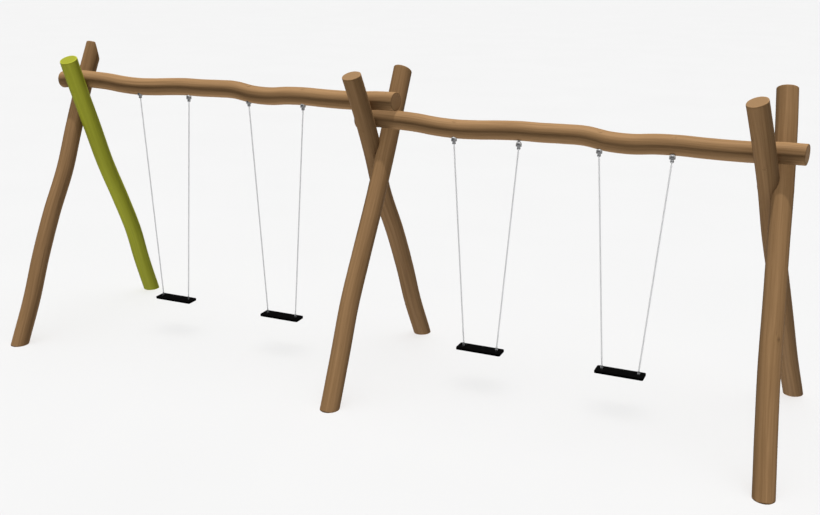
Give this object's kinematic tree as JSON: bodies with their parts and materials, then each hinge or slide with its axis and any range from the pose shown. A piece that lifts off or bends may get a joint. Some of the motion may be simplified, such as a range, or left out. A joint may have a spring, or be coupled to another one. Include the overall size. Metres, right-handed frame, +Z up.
{
  "type": "swing set",
  "caption": "Log swing set: crossed-log frames carry two overlapping bent beams, with flat rubber seats on chains under swivelling hangers.",
  "frame": {"origin": "on the ground under the middle frame, midway between its feet", "axes": "+X along the beams towards the lower beam, +Y to the back, +Z up"},
  "size_m": [7.9695, 2.454, 3.1748],
  "materials": {
    "robinia": "sanded, lengthwise grain",
    "green_paint": "lime green glaze over wood",
    "plug_wood": "sanded, end grain",
    "galvanised_steel": "galvanised",
    "cast_housing": "cast, blasted",
    "chain_steel": "galvanised",
    "bronze": "machined",
    "core_steel": "plain",
    "black_rubber": "matt"
  },
  "bodies": {
    "frame": {"left_front_leg": "robinia", "left_rear_leg": "green_paint", "middle_front_leg": "robinia", "middle_rear_leg": "robinia", "right_front_leg": "robinia", "right_rear_leg": "robinia", "left_beam": "robinia", "right_beam": "robinia", "crossing_rods": "galvanised_steel", "rod_washers": "galvanised_steel", "rod_nuts": "galvanised_steel", "crossing_plugs": "plug_wood", "timber_screws": "galvanised_steel", "screw_washers": "galvanised_steel", "screw_plugs": "plug_wood", "painted_plugs": "green_paint", "hanger_studs": "galvanised_steel", "hanger_plugs": "plug_wood", "hanger_housings": "cast_housing", "pivot_pins": "galvanised_steel"},
    "swing_1": {"swing_1_tongues": "cast_housing", "swing_1_bushes": "bronze", "swing_1_fork_pins": "galvanised_steel", "swing_1_chains": "chain_steel", "swing_1_shackles": "galvanised_steel", "swing_1_shackle_pins": "galvanised_steel"},
    "seat_1": {"seat_1_board": "black_rubber", "seat_1_core": "core_steel", "seat_1_lugs": "galvanised_steel", "seat_1_nuts": "galvanised_steel"},
    "swing_2": {"swing_2_tongues": "cast_housing", "swing_2_bushes": "bronze", "swing_2_fork_pins": "galvanised_steel", "swing_2_chains": "chain_steel", "swing_2_shackles": "galvanised_steel", "swing_2_shackle_pins": "galvanised_steel"},
    "seat_2": {"seat_2_board": "black_rubber", "seat_2_core": "core_steel", "seat_2_lugs": "galvanised_steel", "seat_2_nuts": "galvanised_steel"},
    "swing_3": {"swing_3_tongues": "cast_housing", "swing_3_bushes": "bronze", "swing_3_fork_pins": "galvanised_steel", "swing_3_chains": "chain_steel", "swing_3_shackles": "galvanised_steel", "swing_3_shackle_pins": "galvanised_steel"},
    "seat_3": {"seat_3_board": "black_rubber", "seat_3_core": "core_steel", "seat_3_lugs": "galvanised_steel", "seat_3_nuts": "galvanised_steel"},
    "swing_4": {"swing_4_tongues": "cast_housing", "swing_4_bushes": "bronze", "swing_4_fork_pins": "galvanised_steel", "swing_4_chains": "chain_steel", "swing_4_shackles": "galvanised_steel", "swing_4_shackle_pins": "galvanised_steel"},
    "seat_4": {"seat_4_board": "black_rubber", "seat_4_core": "core_steel", "seat_4_lugs": "galvanised_steel", "seat_4_nuts": "galvanised_steel"}
  },
  "joints": [
    {"name": "swing_1_hinge", "type": "hinge", "parent": "frame", "child": "swing_1", "pos_m": [-2.543, 0, 2.66], "axis": [1, 0, 0], "range_deg": [-60, 60]},
    {"name": "seat_1_tilt", "type": "hinge", "parent": "swing_1", "child": "seat_1", "pos_m": [-2.543, 0, 0.405], "axis": [1, 0, 0], "range_deg": [-45, 45]},
    {"name": "swing_2_hinge", "type": "hinge", "parent": "frame", "child": "swing_2", "pos_m": [-1.167, 0, 2.656], "axis": [1, 0, 0], "range_deg": [-60, 60]},
    {"name": "seat_2_tilt", "type": "hinge", "parent": "swing_2", "child": "seat_2", "pos_m": [-1.167, 0, 0.405], "axis": [1, 0, 0], "range_deg": [-45, 45]},
    {"name": "swing_3_hinge", "type": "hinge", "parent": "frame", "child": "swing_3", "pos_m": [1.087, 0, 2.44], "axis": [1, 0, 0], "range_deg": [-60, 60]},
    {"name": "seat_3_tilt", "type": "hinge", "parent": "swing_3", "child": "seat_3", "pos_m": [1.087, 0, 0.405], "axis": [1, 0, 0], "range_deg": [-45, 45]},
    {"name": "swing_4_hinge", "type": "hinge", "parent": "frame", "child": "swing_4", "pos_m": [2.463, 0, 2.435], "axis": [1, 0, 0], "range_deg": [-60, 60]},
    {"name": "seat_4_tilt", "type": "hinge", "parent": "swing_4", "child": "seat_4", "pos_m": [2.463, 0, 0.405], "axis": [1, 0, 0], "range_deg": [-45, 45]}
  ]
}
